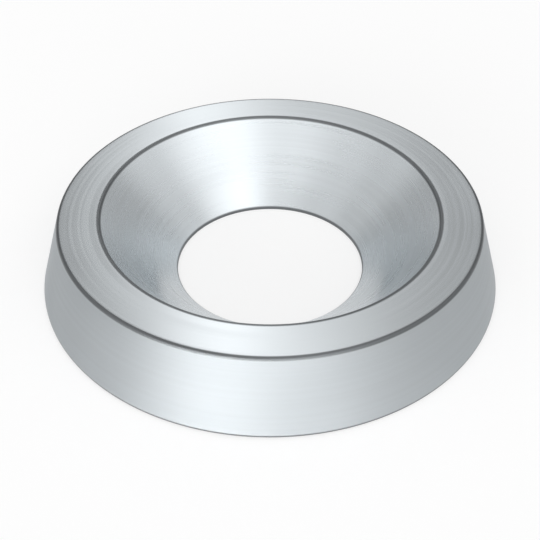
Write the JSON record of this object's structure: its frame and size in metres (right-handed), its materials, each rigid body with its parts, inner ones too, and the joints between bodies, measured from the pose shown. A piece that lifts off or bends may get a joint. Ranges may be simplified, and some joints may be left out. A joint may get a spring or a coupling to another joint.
{
  "type": "countersunk washer",
  "caption": "Turned steel ring with a flat base, tapered outer wall and a countersink that seats a flat-head screw flush with its top face.",
  "frame": {"origin": "centre of the bore at the washer's flat base", "axes": "+Z along the bore axis, from the flat base to the countersunk face; X and Y across the ring"},
  "size_m": [0.016, 0.016, 0.0026],
  "materials": {
    "steel": "fine-turned stainless steel, cool grey"
  },
  "bodies": {
    "root": {"washer": "steel"}
  },
  "joints": []
}
